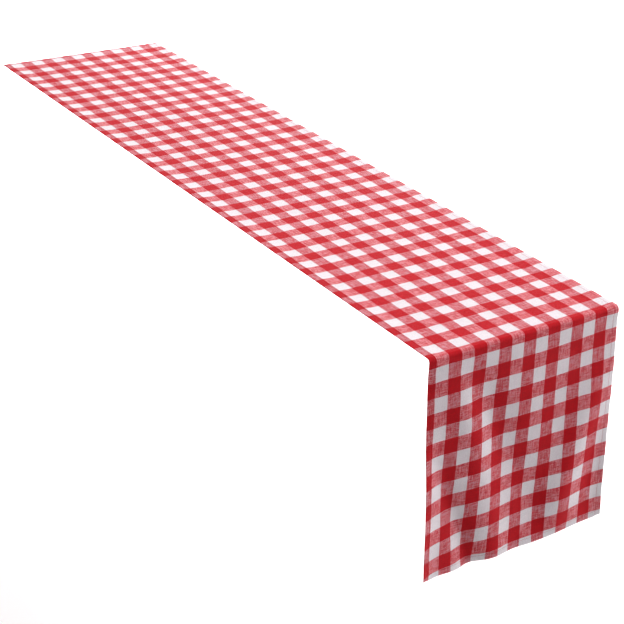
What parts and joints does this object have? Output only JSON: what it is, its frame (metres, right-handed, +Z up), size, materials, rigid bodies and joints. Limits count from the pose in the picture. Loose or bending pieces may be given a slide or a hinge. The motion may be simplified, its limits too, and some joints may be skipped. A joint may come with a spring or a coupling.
{
  "type": "table runner",
  "caption": "Red and white gingham cotton table runner with sewn hems, laid flat, with one end bent over the table edge and hanging in soft folds.",
  "frame": {"origin": "middle of the laid length's flat underside, where it rests on the table top", "axes": "+Z up, +Y along the laid length towards the far hem (the hanging end is at -Y), +X across the width"},
  "size_m": [0.3669, 1.5094, 0.3615],
  "materials": {
    "woven_gingham": "yarn-dyed plain-weave cotton, red and white checks",
    "hemmed_gingham": "the same cotton turned under twice, three layers",
    "sewing_thread": "spun polyester sewing thread, red"
  },
  "bodies": {
    "laid_length": {"laid_panel": "woven_gingham", "edge_fold": "woven_gingham", "left_laid_hem": "hemmed_gingham", "right_laid_hem": "hemmed_gingham", "left_fold_hem": "hemmed_gingham", "right_fold_hem": "hemmed_gingham", "far_hem": "hemmed_gingham", "left_laid_needle_thread": "sewing_thread", "left_laid_bobbin_thread": "sewing_thread", "right_laid_needle_thread": "sewing_thread", "right_laid_bobbin_thread": "sewing_thread", "far_needle_thread": "sewing_thread", "far_bobbin_thread": "sewing_thread"},
    "hanging_end": {"hanging_panel": "woven_gingham", "left_hanging_hem": "hemmed_gingham", "right_hanging_hem": "hemmed_gingham", "front_hem": "hemmed_gingham", "left_hanging_needle_thread": "sewing_thread", "left_hanging_bobbin_thread": "sewing_thread", "right_hanging_needle_thread": "sewing_thread", "right_hanging_bobbin_thread": "sewing_thread", "front_needle_thread": "sewing_thread", "front_bobbin_thread": "sewing_thread"}
  },
  "joints": [
    {"name": "edge_bend", "type": "hinge", "parent": "laid_length", "child": "hanging_end", "pos_m": [0, -0.73325, -0.00089], "axis": [-1, 0, 0], "range_deg": [0, 85]}
  ]
}
